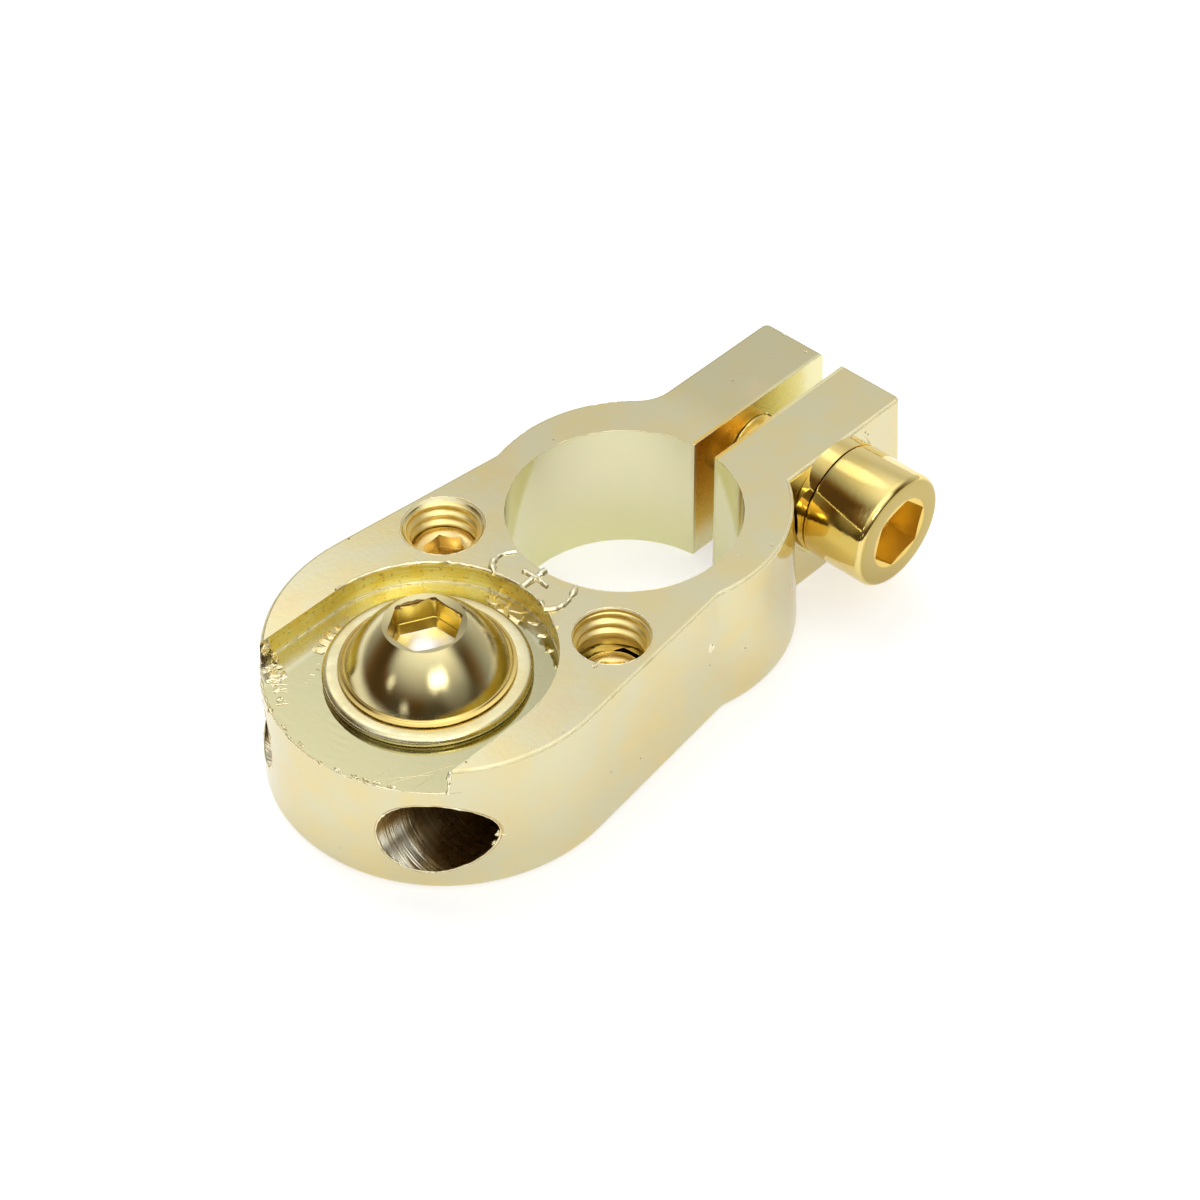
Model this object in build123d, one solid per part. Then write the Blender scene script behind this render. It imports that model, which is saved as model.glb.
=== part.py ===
from build123d import *

import os
from math import atan, degrees, radians, sin, cos, sqrt, tan

os.makedirs("parts", exist_ok=True)

# Cast brass battery terminal clamp, millimetres. Origin on the post bore's axis, in the
# bottom face. +X runs along the slot to the ear tips, +Y away from the clamp screw's
# head, +Z up.

# ---- casting, sizes at the top face ----
body_height = 12.0  # bottom face to top face
draft_angle = 3.0  # outer walls lean out towards the bottom, degrees
post_bore_d = 19.0  # bore for a tapered positive post
ring_wall = 3.0  # wall round the post bore
ring_shift = 1.3  # the ring's outside sits this far towards the ears
ear_reach = 25.4  # bore axis to ear tips
ear_thickness = 6.25  # each ear, slot face to outer face
slot_gap = 2.2  # gap between the ears, open into the bore
neck_radius = 3.5  # ring to ear, on the side away from the screw head
block_radius = 13.95  # half-round end that carries the cables
block_x = 19.8  # bore axis to the half-round's centre
waist_half = 12.15  # half-width where block and ring meet
waist_x = 3.2  # bore axis to the waist
waist_radius = 3.0
corner_radius = 0.6  # upright edges of the ear tips
top_edge = 0.3  # rounding along the top rim
bottom_edge = 0.5  # rounding along the bottom rim

# ---- stud pocket in the top face ----
pocket_x = 21.9  # bore axis to the stud screw's axis
pocket_side = 0.2  # pocket and stud sit this far towards the clamp screw's head
pocket_radius = 10.0
pocket_depth = 2.1

# ---- cable bores, one each side, and their set screws ----
cable_bore_d = 6.8
cable_end_d = 6.0  # narrower end of the bore, under the set screw
cable_step = 3.5  # the narrower end starts this far outside the set screw's axis
cable_spacing = 18.2  # across the two bores
cable_axis_z = 5.2
cable_stop = 2.7  # the bore runs this far past the set screw's axis
drill_point = 118.0  # degrees
set_screw_x = 11.1  # bore axis to the set screws
set_thread_d = 6.0
set_length = 5.0
set_socket_af = 3.0
set_socket_depth = 2.3
set_drop_right = 4.1  # top face to the screw's end, at -Y
set_drop_left = 2.4  # the same, at +Y
set_mouth_right = 0.1  # chamfer at the mouth of the tapped hole at -Y
set_mouth_left = 0.4  # the same, at +Y

# ---- clamp screw through the ears ----
clamp_inset = 8.8  # ear tips to the clamp screw's axis
clamp_screw_z = 7.4
clamp_thread_d = 6.0
clamp_clear = 0.25  # radial gap in the near ear's plain hole
clamp_length = 16.0
clamp_head_d = 10.0
clamp_head_h = 6.0
clamp_head_round = 0.45
clamp_socket_af = 5.2
clamp_socket_depth = 3.0
clamp_washer_t = 1.35
clamp_washer_gap = 0.15  # washer bore over the screw's shank
spot_clear = 0.35  # spot face beyond the head's edge
split_gap = 0.5
split_lean = 20.0  # the split's slant, degrees

# ---- stud screw in the pocket ----
stud_thread_d = 8.0
stud_length = 10.0
stud_head_d = 13.6
stud_head_h = 4.25
stud_rim = 0.55  # rounded lower rim of the dome
stud_socket_af = 5.2
stud_socket_depth = 2.8
stud_mouth_d = 6.4  # countersink round the socket
stud_washer_d = 16.0
stud_washer_t = 1.0
stud_washer_gap = 0.2
stud_washer_roll = 0.3  # rolled-over upper edge

# ---- fits ----
thread_gap = 0.05  # screw to tapped hole, radial
run_out = 1.0  # how far a cutter overshoots the face it opens

clamp_screw_x = ear_reach - clamp_inset
ring_radius = post_bore_d / 2 + ring_wall
ear_half = slot_gap / 2 + ear_thickness
draft_off = body_height * tan(radians(draft_angle))
far = 2 * (ear_reach + block_x + block_radius)  # longer than the whole part


def polar(r, degrees_):
    return (r * cos(radians(degrees_)), r * sin(radians(degrees_)))


# ---- outline of the casting at the top face ----
def plan():
    # straight flanks leave the waist and run tangent into the half-round end
    dx, dy = block_x - waist_x, waist_half
    reach = sqrt(dx * dx + dy * dy)
    lean = atan(dy / dx)
    turn = degrees(lean) + degrees(atan(sqrt(reach**2 - block_radius**2) / block_radius))
    tx, ty = polar(block_radius, turn)
    tx -= block_x
    slope = (waist_half - ty) / (-waist_x - tx)
    inner_y = waist_half + slope * (ring_shift + waist_x)  # buried in the ring
    flank = make_face(
        Polyline(
            (-block_x, 0), (tx, ty), (ring_shift, inner_y), (ring_shift, 0), close=True
        )
    )
    ears = Pos(ear_reach / 2, 0) * Rectangle(ear_reach, 2 * ear_half)
    ears = fillet(ears.vertices().group_by(Axis.X)[-1], corner_radius)
    whole = (
        Pos(ring_shift, 0) * Circle(ring_radius)
        + Pos(-block_x, 0) * Circle(block_radius)
        + flank
        + mirror(flank, Plane.XZ)
        + ears
    )
    neck_x = ring_shift + sqrt(ring_radius**2 - ear_half**2)
    by_place = whole.vertices().sort_by_distance((neck_x, ear_half))
    whole = fillet(by_place[0], neck_radius)
    for side in (1, -1):
        waist = whole.vertices().sort_by_distance((-waist_x, side * waist_half))[0]
        whole = fillet(waist, waist_radius)
    return whole


def rod(d, start, end, axis):
    """Cylinder of diameter d about a line parallel to axis, between two points."""
    length = (Vector(*end) - Vector(*start)).length
    return Plane(origin=start, z_dir=axis) * extrude(Circle(d / 2), length)


def hex_socket(af, depth):
    """Hexagonal recess from z = 0 down, with its drilled bottom."""
    side = extrude(RegularPolygon(af / 2, 6, major_radius=False), -depth)
    cone = Pos(0, 0, -depth) * Rot(180, 0, 0) * Cone(af * 0.45, 0, af * 0.14, align=BASE)
    return side + cone


BASE = (Align.CENTER, Align.CENTER, Align.MIN)


# ---- the casting ----
cable_y = cable_spacing / 2
floor_z = body_height - pocket_depth
stud_seat = Pos(-pocket_x, -pocket_side, floor_z)
seat_y = -ear_half  # the clamp washer's seat

body = extrude(Pos(0, 0, body_height) * plan(), -body_height, taper=-draft_angle)
body = fillet(body.faces().sort_by(Axis.Z)[-1].edges(), top_edge)
body = fillet(body.faces().sort_by(Axis.Z)[0].edges(), bottom_edge)

through = body_height + 2 * run_out
body -= Pos(0, 0, -run_out) * Cylinder(post_bore_d / 2, through, align=BASE)
slot = Box(far / 2, slot_gap, through, align=(Align.MIN, Align.CENTER, Align.MIN))
body -= Pos(0, 0, -run_out) * slot

pocket = Circle(pocket_radius) + Rectangle(
    far / 2, 2 * pocket_radius, align=(Align.MAX, Align.CENTER)
)
body -= stud_seat * extrude(pocket, pocket_depth + run_out)
body -= stud_seat * Pos(0, 0, -floor_z - run_out) * Cylinder(stud_thread_d / 2, through, align=BASE)

cable_end = -(set_screw_x - cable_stop)
cable_neck = -(set_screw_x + cable_step)
point = cable_end_d / 2 / tan(radians(drill_point / 2))
cable_floor = cable_axis_z - cable_end_d / 2
for side, mouth_size in ((1, set_mouth_left), (-1, set_mouth_right)):
    y = side * cable_y
    neck = (cable_neck, y, cable_axis_z)
    end = (cable_end, y, cable_axis_z)
    body -= rod(cable_bore_d, (-far / 2, y, cable_axis_z), neck, (1, 0, 0))
    body -= rod(cable_end_d, (cable_neck - run_out, y, cable_axis_z), end, (1, 0, 0))
    body -= Plane(origin=end, z_dir=(1, 0, 0)) * Cone(
        cable_end_d / 2, 0, point, align=BASE
    )
    hole = Pos(-set_screw_x, y, cable_floor) * Cylinder(
        set_thread_d / 2, body_height - cable_floor + run_out, align=BASE
    )
    mouth = Pos(-set_screw_x, y, body_height - mouth_size) * Cone(
        set_thread_d / 2, set_thread_d / 2 + mouth_size, mouth_size, align=BASE
    )
    body -= hole + mouth

clamp_axis = (clamp_screw_x, seat_y, clamp_screw_z)
body -= rod(
    clamp_thread_d + 2 * clamp_clear,
    (clamp_screw_x, -far / 2, clamp_screw_z),
    (clamp_screw_x, 0, clamp_screw_z),
    (0, 1, 0),
)
body -= rod(
    clamp_thread_d, (clamp_screw_x, 0, clamp_screw_z), (clamp_screw_x, far / 2, clamp_screw_z), (0, 1, 0)
)
body -= rod(
    clamp_head_d + 2 * spot_clear,
    (clamp_screw_x, seat_y - draft_off - run_out, clamp_screw_z),
    clamp_axis,
    (0, 1, 0),
)


# ---- clamp screw and its lock washer, built along +Z and laid along -Y ----
def lock_washer(inner_d, outer_d, thickness):
    ring = extrude(Circle(outer_d / 2) - Circle(inner_d / 2), thickness)
    cut = Rot(0, split_lean, 0) * Box(split_gap, outer_d, 4 * thickness)
    return ring - Pos(0, -outer_d / 2, thickness / 2) * cut


def cap_screw():
    head = extrude(Circle(clamp_head_d / 2), clamp_head_h)
    head = fillet(head.edges().sort_by(Axis.Z)[-1], clamp_head_round)
    shank_r = clamp_thread_d / 2 - thread_gap
    shank = Pos(0, 0, -clamp_length) * Cylinder(shank_r, clamp_length, align=BASE)
    shank = chamfer(shank.edges().sort_by(Axis.Z)[0], clamp_thread_d / 12)
    screw = head + shank
    return screw - Pos(0, 0, clamp_head_h) * hex_socket(clamp_socket_af, clamp_socket_depth)


lay = Plane(origin=clamp_axis, x_dir=(1, 0, 0), z_dir=(0, -1, 0))
clamp_washer = lay * lock_washer(
    clamp_thread_d + 2 * clamp_washer_gap, clamp_head_d, clamp_washer_t
)
clamp_screw = lay * Pos(0, 0, clamp_washer_t) * Rot(0, 0, 16) * cap_screw()


# ---- set screws ----
def set_screw():
    r = set_thread_d / 2 - thread_gap
    lead = set_thread_d / 12
    rod_ = Pos(0, 0, -set_length) * Cylinder(r, set_length, align=BASE)
    rod_ = chamfer(rod_.edges().sort_by(Axis.Z)[-1], lead)
    rod_ = chamfer(rod_.edges().sort_by(Axis.Z)[0], 2 * lead)
    cup = Pos(0, 0, -set_length) * Cone(r / 2, 0, r / 3, align=BASE)
    return rod_ - cup - hex_socket(set_socket_af, set_socket_depth)


set_left = Pos(-set_screw_x, cable_y, body_height - set_drop_left) * set_screw()
set_right = Pos(-set_screw_x, -cable_y, body_height - set_drop_right) * Rot(0, 0, 12) * set_screw()


# ---- stud screw and its washer ----
def button_screw():
    r, m = stud_head_d / 2, stud_mouth_d / 2
    # dome: one arc from the rounded rim to the countersink
    bulge = ((r - stud_rim / 3 + m) / 2 + r * 0.16, stud_head_h * 0.66)
    profile = make_face(
        Polyline((0, stud_head_h), (0, 0), (r - stud_rim, 0))
        + RadiusArc((r - stud_rim, 0), (r, stud_rim), -stud_rim)
        + ThreePointArc((r, stud_rim), bulge, (m, stud_head_h))
        + Line((m, stud_head_h), (0, stud_head_h))
    )
    head = revolve(Plane.XZ * profile, Axis.Z)
    shank_r = stud_thread_d / 2 - thread_gap
    shank = Pos(0, 0, -stud_length) * Cylinder(shank_r, stud_length, align=BASE)
    shank = chamfer(shank.edges().sort_by(Axis.Z)[0], stud_thread_d / 12)
    sink = (stud_mouth_d - stud_socket_af) / 4
    mouth = Pos(0, 0, stud_head_h - sink) * Cone(m - 3 * sink, m, sink, align=BASE)
    socket = Pos(0, 0, stud_head_h) * hex_socket(stud_socket_af, stud_socket_depth)
    return head + shank - mouth - socket


stud_washer = stud_seat * extrude(
    Circle(stud_washer_d / 2) - Circle(stud_thread_d / 2 + stud_washer_gap), stud_washer_t
)
outer_top = stud_washer.edges().group_by(Axis.Z)[-1].sort_by(SortBy.RADIUS)[-1]
stud_washer = fillet(outer_top, stud_washer_roll)
stud_screw = stud_seat * Pos(0, 0, stud_washer_t) * Rot(0, 0, 32) * button_screw()

for name, piece in (
    ("clamp_body", body),
    ("clamp_screw", clamp_screw),
    ("clamp_washer", clamp_washer),
    ("set_screw_left", set_left),
    ("set_screw_right", set_right),
    ("stud_screw", stud_screw),
    ("stud_washer", stud_washer),
):
    export_step(piece, f"parts/{name}.step")
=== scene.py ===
import math

import bmesh
import bpy
from mathutils import Euler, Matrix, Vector, noise


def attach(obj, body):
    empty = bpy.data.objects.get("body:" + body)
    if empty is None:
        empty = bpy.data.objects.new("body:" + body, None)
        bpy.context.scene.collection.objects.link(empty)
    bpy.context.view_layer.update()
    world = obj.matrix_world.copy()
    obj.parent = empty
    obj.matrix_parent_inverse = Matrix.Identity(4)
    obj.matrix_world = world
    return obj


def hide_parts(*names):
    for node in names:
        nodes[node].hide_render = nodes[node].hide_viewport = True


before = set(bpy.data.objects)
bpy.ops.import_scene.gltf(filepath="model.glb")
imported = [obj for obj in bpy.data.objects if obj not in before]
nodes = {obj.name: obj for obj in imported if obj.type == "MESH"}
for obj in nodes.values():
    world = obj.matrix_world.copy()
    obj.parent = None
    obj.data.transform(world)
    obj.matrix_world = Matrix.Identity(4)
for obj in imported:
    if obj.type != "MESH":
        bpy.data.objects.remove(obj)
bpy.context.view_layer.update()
noise.seed_set(1)  # without a seed, noise_vector starts from the clock

MM = 0.001
AROUND = 72  # edges round every turned piece, a multiple of six for the hexagon sockets

# places and sizes in millimetres, as in the casting
TOP = 12.0  # top face
FLOOR = 9.9  # pocket floor
BLOCK_X = -19.8  # centre of the half-round end
STUD = (-21.9, -0.2)
SEAT = FLOOR + 1.0  # the stud screw's head rests here, on its washer
SET_X = -11.1
CABLE_Y = 9.1
CABLE_Z = 5.2
CABLE_R = 3.4  # radius of the cable bores
BORE_R = 9.5  # radius of the post bore
CLAMP = (16.6, -7.35, 7.4)  # the clamp screw's axis at the near ear's face
CLAMP_WASHER = 1.35

THREAD_ROWS = 10  # rings of points in each pitch of a thread
EDGE_STEP = 0.4  # longest stretch of an edge bead without a point
SHARP = math.radians(20)  # an edge that turns further than this is plated

bpy.context.scene.view_settings.view_transform = "Standard"


# ---- camera ----
def place_camera():
    data = bpy.data.cameras.new("camera")
    data.sensor_width = 36.0
    data.lens = 88.82
    data.clip_start = 0.01
    camera = bpy.data.objects.new("camera", data)
    camera.location = (-0.126362, -0.119496, 0.167918)
    camera.rotation_euler = Euler([math.radians(a) for a in (46.3577, 0.6158, -46.5167)])
    bpy.context.scene.collection.objects.link(camera)
    bpy.context.scene.camera = camera


# ---- shader maths ----
class Value:
    """A number that varies over a finish: a socket that takes part in sums."""

    def __init__(self, finish, socket):
        self.finish, self.socket = finish, socket

    def reckon(self, operation, first, second):
        return self.finish.node("Math", {"operation": operation}, {0: first, 1: second})

    def __add__(self, other):
        return self.reckon("ADD", self, other)

    def __radd__(self, other):
        return self.reckon("ADD", other, self)

    def __sub__(self, other):
        return self.reckon("SUBTRACT", self, other)

    def __rsub__(self, other):
        return self.reckon("SUBTRACT", other, self)

    def __mul__(self, other):
        return self.reckon("MULTIPLY", self, other)

    def abs(self):
        return self.finish.node("Math", {"operation": "ABSOLUTE"}, {0: self})

    def root(self):
        return self.finish.node("Math", {"operation": "SQRT"}, {0: self})

    def clip(self):
        return self.finish.node("Clamp", {}, {"Value": self})

    def ramp(self, low, high, start=0.0, end=1.0):
        """Smooth step from start at low to end at high."""
        return self.finish.node(
            "MapRange",
            {"interpolation_type": "SMOOTHSTEP"},
            {"Value": self, "From Min": low, "From Max": high, "To Min": start, "To Max": end},
        )

    def fall(self, low, high):
        """Smooth step from one at low down to nothing at high."""
        return self.ramp(low, high, 1.0, 0.0)


class Recipe:
    """A tree of shader nodes, written as sums and named parts."""

    def __init__(self, tree):
        self.tree = tree

    def node(self, kind, settings=None, sockets=None, out=0):
        """A new shader node with its settings and inputs; gives one of its outputs."""
        made = self.tree.nodes.new("ShaderNode" + kind)
        for key, setting in (settings or {}).items():
            setattr(made, key, setting)
        for key, given in (sockets or {}).items():
            self.feed(made.inputs[key], given)
        return Value(self, made.outputs[out])

    def rays(self):
        """Whether light goes to the eye, to a glossy face, or through a clear one."""
        outs = self.node("LightPath").socket.node.outputs
        kinds = ("Camera", "Glossy", "Transmission")
        return [Value(self, outs["Is %s Ray" % kind]) for kind in kinds]

    def feed(self, socket, given):
        if isinstance(given, Value):
            self.tree.links.new(given.socket, socket)
        elif isinstance(given, tuple) and socket.type == "RGBA" and len(given) == 3:
            socket.default_value = (*given, 1.0)
        else:
            socket.default_value = given

    def mix(self, share, first, second):
        """Colour between first and second."""
        made = self.tree.nodes.new("ShaderNodeMix")
        made.data_type = "RGBA"
        for index, given in ((0, share), (6, first), (7, second)):
            self.feed(made.inputs[index], given)
        return Value(self, made.outputs[2])


class Finish(Recipe):
    """A procedural material, read in object coordinates in millimetres."""

    def __init__(self, name, **constants):
        self.material = bpy.data.materials.new(name)
        self.material.use_nodes = True
        super().__init__(self.material.node_tree)
        self.shader = next(n for n in self.tree.nodes if n.type == "BSDF_PRINCIPLED")
        for socket, value in constants.items():
            self.shader.inputs[socket.replace("_", " ")].default_value = value
        where = self.node("TexCoord", {}, {}, "Object")
        self.place = self.node("VectorMath", {"operation": "SCALE"}, {0: where, "Scale": 1000.0})
        split = self.node("SeparateXYZ", {}, {0: self.place})
        outs = split.socket.node.outputs
        self.x, self.y, self.z = (Value(self, outs[i]) for i in range(3))

    def cloud(self, size, detail=2.0, stretch=(1.0, 1.0, 1.0), shift=(0.0, 0.0, 0.0)):
        """Soft noise whose patches are about size millimetres across, 0 to 1."""
        spread = tuple(1.0 / (size * s) for s in stretch)
        at = self.node("Mapping", {}, {"Vector": self.place, "Scale": spread, "Location": shift})
        return self.node("TexNoise", {}, {"Vector": at, "Scale": 1.0, "Detail": detail})

    def bump(self, height, strength, distance, under=None):
        sockets = {"Height": height, "Strength": strength, "Distance": distance}
        if under is not None:
            sockets["Normal"] = under
        return self.node("Bump", {}, sockets)

    def paint(self, where, colour):
        self.colour = self.mix(where, self.colour, colour)

    def shade(self, **links):
        for socket, given in links.items():
            self.feed(self.shader.inputs[socket.replace("_", " ")], given)
        return self.material


# ---- floor and light ----
def lay_floor():
    bpy.ops.mesh.primitive_plane_add(size=6.0, location=(0.0, 0.0, -0.00002))
    floor = bpy.context.object
    floor.name = "floor"
    paper = Finish("floor_paper", Roughness=0.6, Specular_IOR_Level=0.2)
    fibre = paper.cloud(0.8)
    colour = paper.mix(fibre, (0.86, 0.86, 0.86), (0.90, 0.90, 0.90))
    eye, glossy, through = paper.rays()
    paper.shader.inputs["Emission Strength"].default_value = 0.52
    glow = paper.mix(glossy, (0.0, 0.0, 0.0), (0.76, 0.76, 0.76))
    glow = paper.mix((eye + through).clip(), glow, (1.0, 1.0, 1.0))
    paper.shade(Base_Color=colour, Emission_Color=glow)
    floor.data.materials.append(paper.material)


def from_angles(azimuth, elevation, distance):
    a, e = math.radians(azimuth), math.radians(elevation)
    return (
        distance * math.cos(a) * math.cos(e),
        distance * math.sin(a) * math.cos(e),
        distance * math.sin(e),
    )


# what shines in reflections: azimuth, elevation, the cosines of its rim and core, brightness
LAMPS = (
    (268.0, 28.0, 0.88, 0.98, 0.20),
    (64.0, 50.0, 0.968, 0.995, 0.66),
    (237.6, 34.6, 0.990, 0.996, 3.5),
    (251.8, 34.6, 0.990, 0.996, 3.5),
    (169.0, 22.7, 0.9972, 0.9992, 2.2),
    (195.4, 10.5, 0.9972, 0.9992, 1.6),
)
# brown parts of the room: azimuth, elevation, the cosines of their rim and core
BROWN = (
    (142.0, 25.0, 0.70, 0.93),
    (206.0, 18.0, 0.94, 0.985),
    (312.0, 16.0, 0.93, 0.985),
)


def light_world():
    """White tent: white to the eye, and for reflections bright overhead, dimmer in front."""
    world = bpy.data.worlds.new("white_tent")
    bpy.context.scene.world = world
    world.use_nodes = True
    world.node_tree.nodes.clear()
    tent = Recipe(world.node_tree)
    eye, glossy, through = tent.rays()
    look = tent.node("TexCoord", {}, {}, "Generated")

    def facing(azimuth, elevation):
        towards = from_angles(azimuth, elevation, 1.0)
        return tent.node(
            "VectorMath", {"operation": "DOT_PRODUCT"}, {0: look, 1: towards}, "Value"
        )

    zenith = facing(0.0, 90.0)
    overhead = (facing(18.5, 78.9) - 0.567).ramp(0.0, 1.0, 0.0, 3.2)
    beyond = facing(34.0, -33.0).ramp(-0.42, 0.9, 0.0, 0.70)
    near_side = (facing(224.0, 0.0) + zenith * 0.45).ramp(0.38, 0.72)
    front = zenith.ramp(0.22, 0.92, 0.0, 1.3) * near_side
    seen = 0.09 + overhead + beyond + front
    for azimuth, elevation, rim, core, glow in LAMPS:
        seen = seen + facing(azimuth, elevation).ramp(rim, core, 0.0, glow)
    brown = [facing(azimuth, elevation).ramp(rim, core) for azimuth, elevation, rim, core in BROWN]
    brown = (brown[0] + brown[1] + brown[2]).clip()
    dusk = tent.mix(brown, (1.0, 0.88, 0.68), (1.0, 0.60, 0.26))
    tint = tent.mix(glossy * seen.ramp(0.12, 0.40, 1.0, 0.0), (1.0, 1.0, 1.0), dusk)
    rest = 1 - (eye + through + glossy).clip()
    strength = eye + through + glossy * seen + rest * 0.62
    back = tent.node("Background", {}, {"Color": tint, "Strength": strength})
    out = tent.tree.nodes.new("ShaderNodeOutputWorld")
    tent.tree.links.new(back.socket, out.inputs["Surface"])


def aim(obj, at, towards=(0.0, 0.0, 0.006)):
    obj.location = at
    obj.rotation_euler = (Vector(towards) - Vector(at)).to_track_quat("-Z", "Y").to_euler()


def hang_lamp(name, azimuth, elevation, distance, size, watts):
    data = bpy.data.lights.new(name, "AREA")
    data.shape = "DISK"
    data.size = size
    data.energy = watts
    lamp = bpy.data.objects.new(name, data)
    lamp.visible_glossy = False
    aim(lamp, from_angles(azimuth, elevation, distance))
    bpy.context.scene.collection.objects.link(lamp)


# ---- shaping ----
def let_go():
    if bpy.context.object and bpy.context.object.mode != "OBJECT":
        bpy.ops.object.mode_set(mode="OBJECT")
    bpy.ops.object.select_all(action="DESELECT")


def selected_points(piece):
    mesh = bmesh.from_edit_mesh(piece.data)
    return mesh, [v for v in mesh.verts if v.select]


def reshape(piece, move):
    """Puts each selected point where move(angle, radius, height) says, in millimetres."""
    mesh, points = selected_points(piece)
    for v in points:
        x, y, z = v.co / MM
        angle = math.atan2(y, x)
        radius, height = move(angle, math.hypot(x, y), z)
        v.co = Vector((radius * math.cos(angle), radius * math.sin(angle), height)) * MM
    bmesh.update_edit_mesh(piece.data)


def draw_in():
    """A fresh ring of faces inside the selected face, ready to be reshaped."""
    bpy.ops.mesh.extrude_region_move(TRANSFORM_OT_translate={"value": (0.0, 0.0, 0.0)})


def tidy_up(piece, crease=40.0):
    bpy.ops.mesh.select_all(action="SELECT")
    bpy.ops.mesh.remove_doubles(threshold=0.000001)
    bpy.ops.mesh.normals_make_consistent(inside=False)
    bpy.ops.object.mode_set(mode="OBJECT")
    bpy.ops.object.shade_smooth_by_angle(angle=math.radians(crease))
    return piece


def turned(name, profile):
    """Solid turned about Z through (radius, height) points; its last face stays selected."""
    let_go()
    first, rest = profile[0], profile[1:]
    bpy.ops.mesh.primitive_circle_add(vertices=AROUND, radius=first[0] * MM, fill_type="NGON")
    piece = bpy.context.object
    piece.name = name
    bpy.ops.object.mode_set(mode="EDIT")
    bpy.ops.mesh.select_mode(type="FACE")
    bpy.ops.mesh.select_all(action="SELECT")
    bpy.ops.transform.translate(value=(0.0, 0.0, first[1] * MM))
    radius, height = first
    for wide, high in rest:
        step = {"value": (0.0, 0.0, (high - height) * MM)}
        bpy.ops.mesh.extrude_region_move(TRANSFORM_OT_translate=step)
        if wide != radius:
            by = wide / radius
            bpy.ops.transform.resize(value=(by, by, 1.0), center_override=(0.0, 0.0, high * MM))
        radius, height = wide, high
    return piece


def hexagon(angle, flats, turn):
    """Radius of a hexagon, measured across its flats, at one angle."""
    sixth = math.pi / 3
    within = (angle - math.radians(turn) + 100 * sixth) % sixth
    return flats / 2 / math.cos(within - sixth / 2)


def sink_socket(piece, top, mouth, slope, flats, depth, turn, ledge=0.55):
    """Hexagon socket in the selected round face of radius mouth at height top.

    Its walls step in a little at the ledge, a share of the depth, and its floor is a cone.
    """
    draw_in()
    reshape(
        piece,
        lambda a, r, z: (hexagon(a, flats, turn), top - (mouth - hexagon(a, flats, turn)) * slope),
    )
    for share, down in ((0.995, ledge), (0.975, ledge + 0.015), (0.97, 1.0)):
        draw_in()
        reshape(piece, lambda a, r, z: (hexagon(a, flats * share, turn), top - depth * down))
    for share, drop in ((0.40, 0.03), (0.30, 0.06), (0.12, 0.115), (0.01, 0.145)):
        draw_in()
        reshape(piece, lambda a, r, z: (flats * share, top - depth - flats * drop))


def arc(centre, radius, start, end, steps):
    """Points of (radius, height) round a centre, from start to end degrees."""
    points = []
    for i in range(steps + 1):
        a = math.radians(start + (end - start) * i / steps)
        points.append((centre[0] + radius * math.cos(a), centre[1] + radius * math.sin(a)))
    return points


def thread_radius(angle, height, pitch, crest, root):
    """Radius of a rounded thread at one angle and height."""
    turns = height / pitch - angle / (2 * math.pi)
    flank = abs(2 * (turns % 1.0) - 1.0)
    rise = min(max((flank - 0.10) / 0.75, 0.0), 1.0)
    rise = 0.5 * rise + 0.5 * rise * rise * (3 - 2 * rise)
    return root + (crest - root) * rise


def ribbed_tube(name, low, high, pitch, caps):
    """Tube on Z with enough rings of points to carry a thread, all of them selected."""
    let_go()
    bpy.ops.mesh.primitive_cylinder_add(
        vertices=AROUND,
        radius=MM,
        depth=(high - low) * MM,
        end_fill_type=caps,
        location=(0.0, 0.0, (low + high) / 2 * MM),
    )
    bpy.ops.object.transform_apply(location=True)
    piece = bpy.context.object
    piece.name = name
    bpy.ops.object.mode_set(mode="EDIT")
    bpy.ops.mesh.select_mode(type="EDGE")
    bpy.ops.mesh.select_all(action="DESELECT")
    mesh = bmesh.from_edit_mesh(piece.data)
    for edge in mesh.edges:
        edge.select_set(abs(edge.verts[0].co.z - edge.verts[1].co.z) > 0.1 * MM)
    bmesh.update_edit_mesh(piece.data)
    bpy.ops.mesh.subdivide(number_cuts=round((high - low) / pitch * THREAD_ROWS) - 1)
    bpy.ops.mesh.select_mode(type="VERT")
    bpy.ops.mesh.select_all(action="SELECT")
    return piece


def threaded_rod(name, low, high, pitch, crest, root, lead_low, lead_high):
    """Threaded rod on Z with both ends chamfered; its top face is left selected."""
    piece = ribbed_tube(name, low, high, pitch, "NGON")

    def cut(angle, radius, height):
        wide = thread_radius(angle, height, pitch, crest, root)
        wide = min(wide, crest - lead_low + (height - low), crest - lead_high + (high - height))
        return wide, height

    reshape(piece, cut)
    bpy.ops.mesh.select_mode(type="FACE")
    bpy.ops.mesh.select_all(action="DESELECT")
    mesh = bmesh.from_edit_mesh(piece.data)
    for face in mesh.faces:
        if len(face.verts) > 4 and face.calc_center_median().z > (high - 0.05) * MM:
            face.select_set(True)
    bmesh.update_edit_mesh(piece.data)
    return piece


def select_where(piece, wanted):
    """Selects the points of the piece that wanted(point) takes, and what lies between them."""
    bpy.ops.mesh.select_all(action="DESELECT")
    mesh = bmesh.from_edit_mesh(piece.data)
    for v in mesh.verts:
        v.select_set(wanted(v.co))
    mesh.select_flush(True)
    bmesh.update_edit_mesh(piece.data)


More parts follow.
